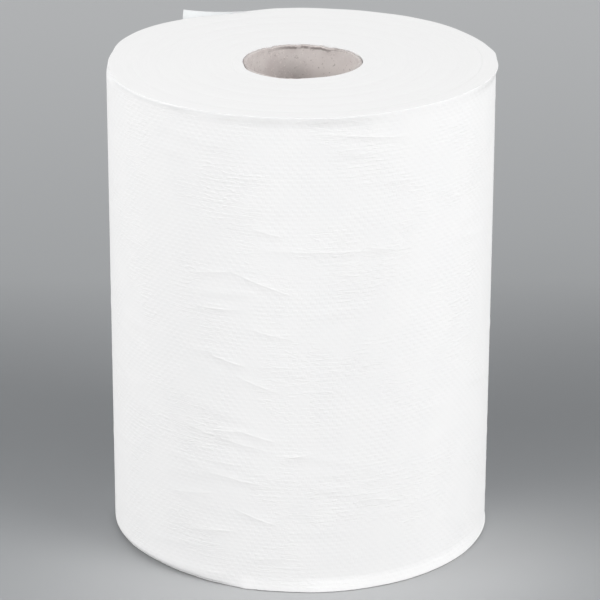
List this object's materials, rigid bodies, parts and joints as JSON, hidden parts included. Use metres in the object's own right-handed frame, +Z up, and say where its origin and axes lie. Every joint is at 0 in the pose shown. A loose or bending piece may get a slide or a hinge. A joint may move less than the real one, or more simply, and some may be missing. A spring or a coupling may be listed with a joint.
{
  "type": "paper towel roll",
  "caption": "Wide embossed paper towel roll wound on a card core, standing on its end, with the free tail of the last turn lifted off the wall.",
  "frame": {"origin": "centre of the roll's base, on the core's axis", "axes": "+Z up along the core's axis; the free tail lies at the back left, towards -X and +Y"},
  "size_m": [0.1586, 0.1588, 0.203],
  "materials": {
    "towel_paper": "matte, soft embossed",
    "core_card": "matte, uncoated"
  },
  "bodies": {
    "root": {"wound_paper": "towel_paper", "core_tube": "core_card"}
  },
  "joints": []
}
